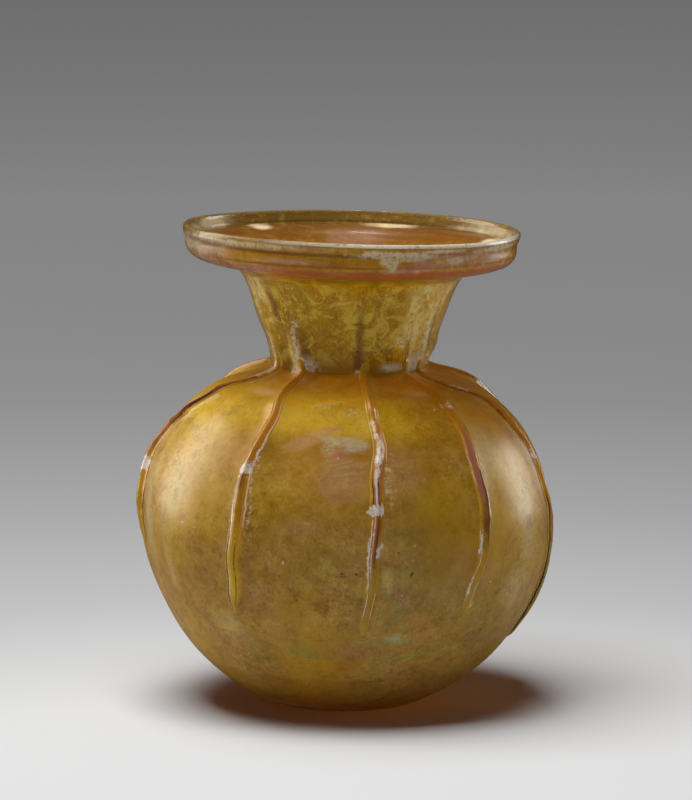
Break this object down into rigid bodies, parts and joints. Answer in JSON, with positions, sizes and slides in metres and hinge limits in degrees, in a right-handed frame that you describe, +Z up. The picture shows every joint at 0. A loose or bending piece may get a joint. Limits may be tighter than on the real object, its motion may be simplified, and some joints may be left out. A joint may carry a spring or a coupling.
{
  "type": "ribbed globular flask",
  "caption": "Round-bodied amber glass flask with tooled ribs, a pinched throat, a flaring neck and a wide collar rim; stands on a pushed-in base.",
  "frame": {"origin": "centre of the foot ring, on the table", "axes": "+Z up along the axis of the flask; the side shown in the picture faces -Y"},
  "size_m": [0.0933, 0.0929, 0.107],
  "materials": {
    "body_glass": "amber glass, weathered to a haze",
    "neck_glass": "clear golden-olive glass with pale veins",
    "rim_glass": "red-brown glass with lilac and cream weathering",
    "lip_glass": "cream weathered edge",
    "rib_glass": "brown glass with pale deposits"
  },
  "bodies": {
    "root": {"base": "body_glass", "body_bulb": "body_glass", "throat": "neck_glass", "neck_funnel": "neck_glass", "rim_dish": "rim_glass", "rim_fold": "rim_glass", "rim_collar": "rim_glass", "lip": "lip_glass", "rib_1": "rib_glass", "rib_2": "rib_glass", "rib_3": "rib_glass", "rib_4": "rib_glass", "rib_5": "rib_glass", "rib_6": "rib_glass", "rib_7": "rib_glass", "rib_8": "rib_glass", "rib_9": "rib_glass"}
  },
  "joints": []
}
